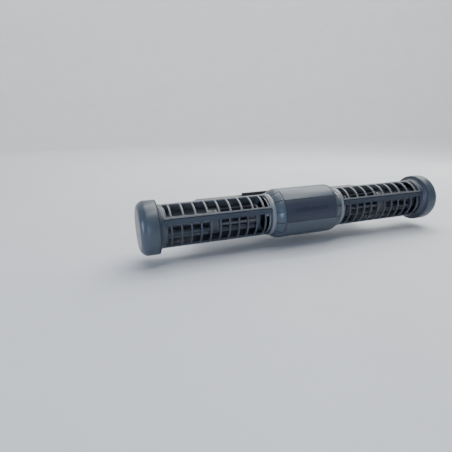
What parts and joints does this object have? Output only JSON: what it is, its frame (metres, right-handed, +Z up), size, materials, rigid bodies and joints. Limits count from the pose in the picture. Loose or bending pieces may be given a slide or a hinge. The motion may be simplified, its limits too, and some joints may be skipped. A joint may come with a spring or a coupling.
{
  "type": "wave maker pump",
  "caption": "Cross-flow aquarium wave pump: potted motor between two grille cages with paddle rotors, on a magnet bar that holds to the tank's glass.",
  "frame": {"origin": "centre of the rubber pad's face that rests on the tank's glass", "axes": "+X along the rotors to the right as seen from the tank's inside, +Y out of the pad towards the glass, +Z up"},
  "size_m": [0.345, 0.076, 0.0568],
  "materials": {
    "casing": "satin blue-grey moulding",
    "panel": "satin, darker than the casing",
    "rim_plastic": "satin",
    "rib_plastic": "satin, lighter than the lower ribs",
    "grille_plastic": "satin",
    "pod_plastic": "fine matte grain",
    "mount_plastic": "fine matte grain",
    "inner_plastic": "moulded",
    "paddle_plastic": "satin",
    "can_plastic": "moulded",
    "rubber": "matte",
    "steel": "stainless",
    "lamination": "stacked sheet",
    "magnet": "sintered, nickel coated",
    "copper": "enamelled winding",
    "gland_brass": "turned",
    "ceramic": "polished white ceramic",
    "circuit_board": "solder mask"
  },
  "bodies": {
    "magnet_bar": {"mount_bridge": "mount_plastic", "swivel_saddle": "mount_plastic", "saddle_liner": "rubber", "saddle_screws": "steel", "left_magnet_pod": "pod_plastic", "right_magnet_pod": "pod_plastic", "left_pod_cover": "mount_plastic", "right_pod_cover": "mount_plastic", "left_magnet": "magnet", "right_magnet": "magnet", "pod_screws": "steel", "bar_screws": "steel", "glass_pad": "rubber"},
    "motor": {"motor_shell": "casing", "front_panel": "panel", "left_end_bell": "inner_plastic", "right_end_bell": "inner_plastic", "bell_screws": "steel", "stator_core": "lamination", "stator_coils": "copper", "rotor_can": "can_plastic", "o_rings": "rubber", "bushings": "ceramic", "wiring_board": "circuit_board", "swivel_shoe": "mount_plastic", "shoe_screws": "steel", "cable_gland": "inner_plastic", "gland_grommet": "rubber", "gland_nut": "gland_brass"},
    "rotor": {"rotor_magnet": "magnet", "magnet_sleeve": "inner_plastic", "drive_shaft": "ceramic", "thrust_washers": "ceramic", "left_drive_hub": "inner_plastic", "right_drive_hub": "inner_plastic", "left_paddle_rotor": "paddle_plastic", "right_paddle_rotor": "paddle_plastic", "left_rotor_pin": "ceramic", "right_rotor_pin": "ceramic"},
    "left_cage": {"left_index_collar": "casing", "left_cage_base_ring": "rim_plastic", "left_upper_grille": "rib_plastic", "left_lower_grille": "grille_plastic", "left_flare_ring": "grille_plastic"},
    "left_cap": {"left_end_cap": "casing", "left_bearing_holder": "inner_plastic", "left_bearing_rubber": "rubber", "left_end_bush": "ceramic"},
    "right_cage": {"right_index_collar": "casing", "right_cage_base_ring": "rim_plastic", "right_upper_grille": "rib_plastic", "right_lower_grille": "grille_plastic", "right_flare_ring": "grille_plastic"},
    "right_cap": {"right_end_cap": "casing", "right_bearing_holder": "inner_plastic", "right_bearing_rubber": "rubber", "right_end_bush": "ceramic"}
  },
  "joints": [
    {"name": "pump_swivel", "type": "hinge", "parent": "magnet_bar", "child": "motor", "pos_m": [0, -0.05, 0], "axis": [1, 0, 0], "range_deg": [-25, 25]},
    {"name": "rotor_spin", "type": "hinge", "parent": "motor", "child": "rotor", "pos_m": [0, -0.05, 0], "axis": [1, 0, 0], "continuous": true},
    {"name": "left_cage_turn", "type": "hinge", "parent": "motor", "child": "left_cage", "pos_m": [0, -0.05, 0], "axis": [1, 0, 0], "range_deg": [-90, 90]},
    {"name": "left_cap_twist", "type": "hinge", "parent": "left_cage", "child": "left_cap", "pos_m": [0, -0.05, 0], "axis": [1, 0, 0], "range_deg": [0, 20]},
    {"name": "right_cage_turn", "type": "hinge", "parent": "motor", "child": "right_cage", "pos_m": [0, -0.05, 0], "axis": [1, 0, 0], "range_deg": [-90, 90]},
    {"name": "right_cap_twist", "type": "hinge", "parent": "right_cage", "child": "right_cap", "pos_m": [0, -0.05, 0], "axis": [1, 0, 0], "range_deg": [0, 20]}
  ]
}
